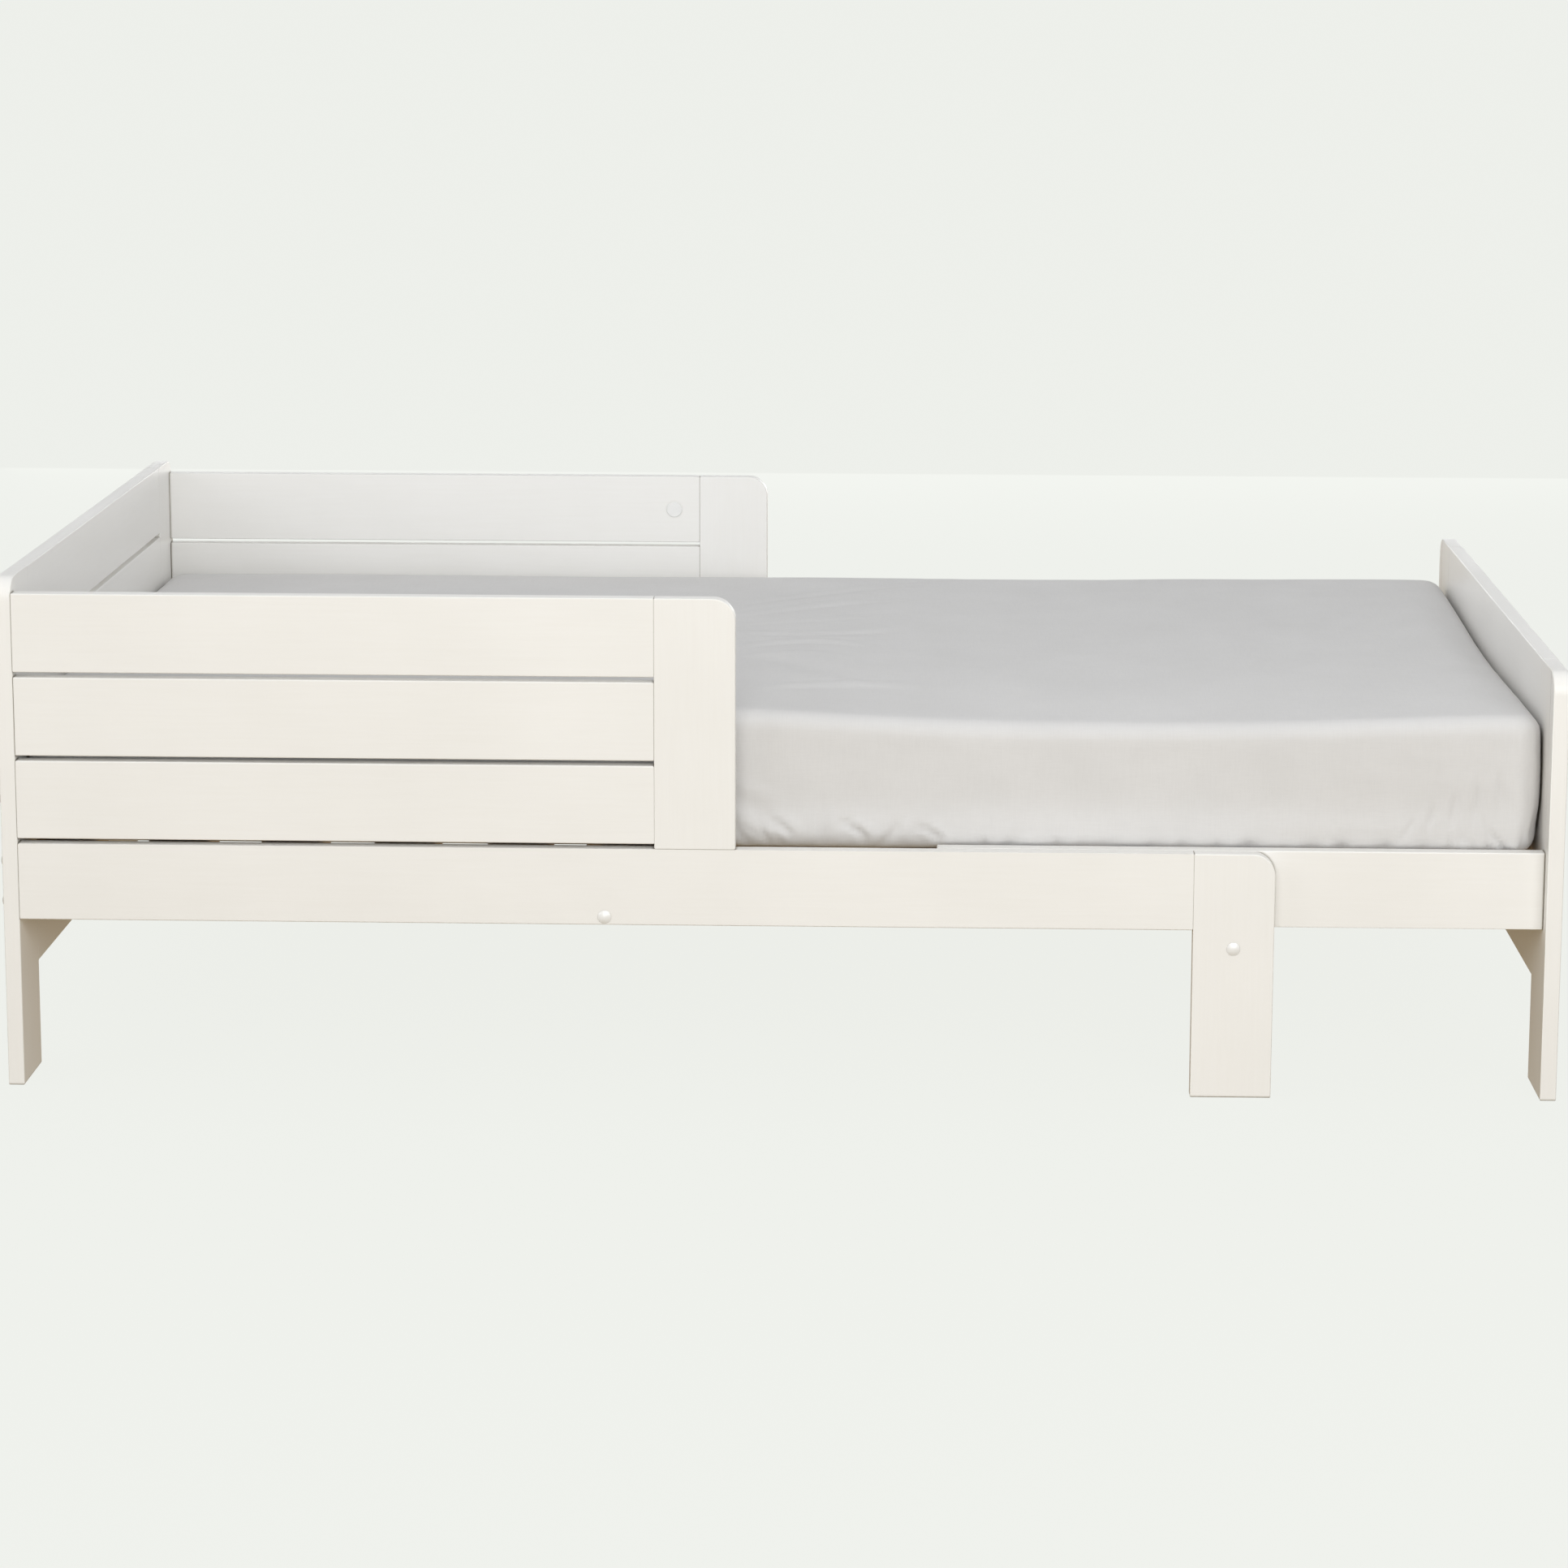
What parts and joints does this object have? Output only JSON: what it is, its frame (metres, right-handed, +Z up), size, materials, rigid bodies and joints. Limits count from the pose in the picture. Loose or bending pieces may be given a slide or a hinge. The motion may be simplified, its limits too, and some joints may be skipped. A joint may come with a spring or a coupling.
{
  "type": "toddler bed",
  "caption": "White painted wooden toddler bed that lengthens: slatted end panels, guards at the head, telescoping side rails with middle legs, slatted base, mattress in a grey fitted sheet.",
  "frame": {"origin": "on the floor under the middle of the bed at its middle length", "axes": "+X from the headboard to the footboard, +Z up, -Y the side seen from the front"},
  "size_m": [1.7408, 0.9848, 0.5784],
  "materials": {
    "painted_wood": "warm off-white satin paint over solid wood",
    "bare_pine": "unpainted planed pine",
    "beech_dowel": "fluted beech, unfinished",
    "sheet_cotton": "light warm grey plain-weave cotton",
    "mattress_cover": "off-white quilted ticking over foam",
    "white_plastic": "glossy white cover caps",
    "zinc_steel": "zinc-plated steel",
    "brass": "plain brass"
  },
  "bodies": {
    "head_section": {"headboard_post_front": "painted_wood", "headboard_post_back": "painted_wood", "headboard_board_1": "painted_wood", "headboard_board_2": "painted_wood", "headboard_board_3": "painted_wood", "headboard_board_4": "painted_wood", "headboard_board_5": "painted_wood", "outer_rail_front": "painted_wood", "outer_rail_back": "painted_wood", "mid_leg_front": "painted_wood", "mid_leg_back": "painted_wood", "guard_front_board_1": "painted_wood", "guard_front_board_2": "painted_wood", "guard_front_board_3": "painted_wood", "guard_back_board_1": "painted_wood", "guard_back_board_2": "painted_wood", "guard_back_board_3": "painted_wood", "guard_front_post": "painted_wood", "guard_back_post": "painted_wood", "cross_board": "bare_pine", "mid_beam": "bare_pine", "head_ledge_front": "bare_pine", "head_ledge_back": "bare_pine", "bearer_front": "bare_pine", "bearer_back": "bare_pine", "head_slats": "bare_pine", "middle_slats": "bare_pine", "mattress_main": "mattress_cover", "fitted_sheet": "sheet_cotton", "headboard_bolts": "zinc_steel", "beam_bolts": "zinc_steel", "head_nuts": "zinc_steel", "headboard_bolt_caps": "white_plastic", "beam_bolt_caps": "white_plastic", "guard_cam_fittings": "zinc_steel", "guard_cam_caps": "white_plastic", "headboard_dowels": "beech_dowel", "guard_dowels": "beech_dowel", "rail_dowels": "beech_dowel", "lock_bolts": "zinc_steel", "head_section_screws": "zinc_steel"},
    "foot_section": {"footboard_post_front": "painted_wood", "footboard_post_back": "painted_wood", "footboard_board_1": "painted_wood", "footboard_board_2": "painted_wood", "footboard_board_3": "painted_wood", "footboard_board_4": "painted_wood", "inner_rail_front": "painted_wood", "inner_rail_back": "painted_wood", "foot_ledge_front": "bare_pine", "foot_ledge_back": "bare_pine", "foot_slats": "bare_pine", "mattress_extension": "mattress_cover", "footboard_bolts": "zinc_steel", "foot_nuts": "zinc_steel", "footboard_bolt_caps": "white_plastic", "footboard_dowels": "beech_dowel", "lock_sleeves": "brass", "foot_section_screws": "zinc_steel"}
  },
  "joints": [
    {"name": "bed_extension", "type": "slide", "parent": "head_section", "child": "foot_section", "axis": [1, 0, 0], "range_m": [-0.3, 0.3], "deforming": ["mattress_extension", "fitted_sheet"]}
  ]
}
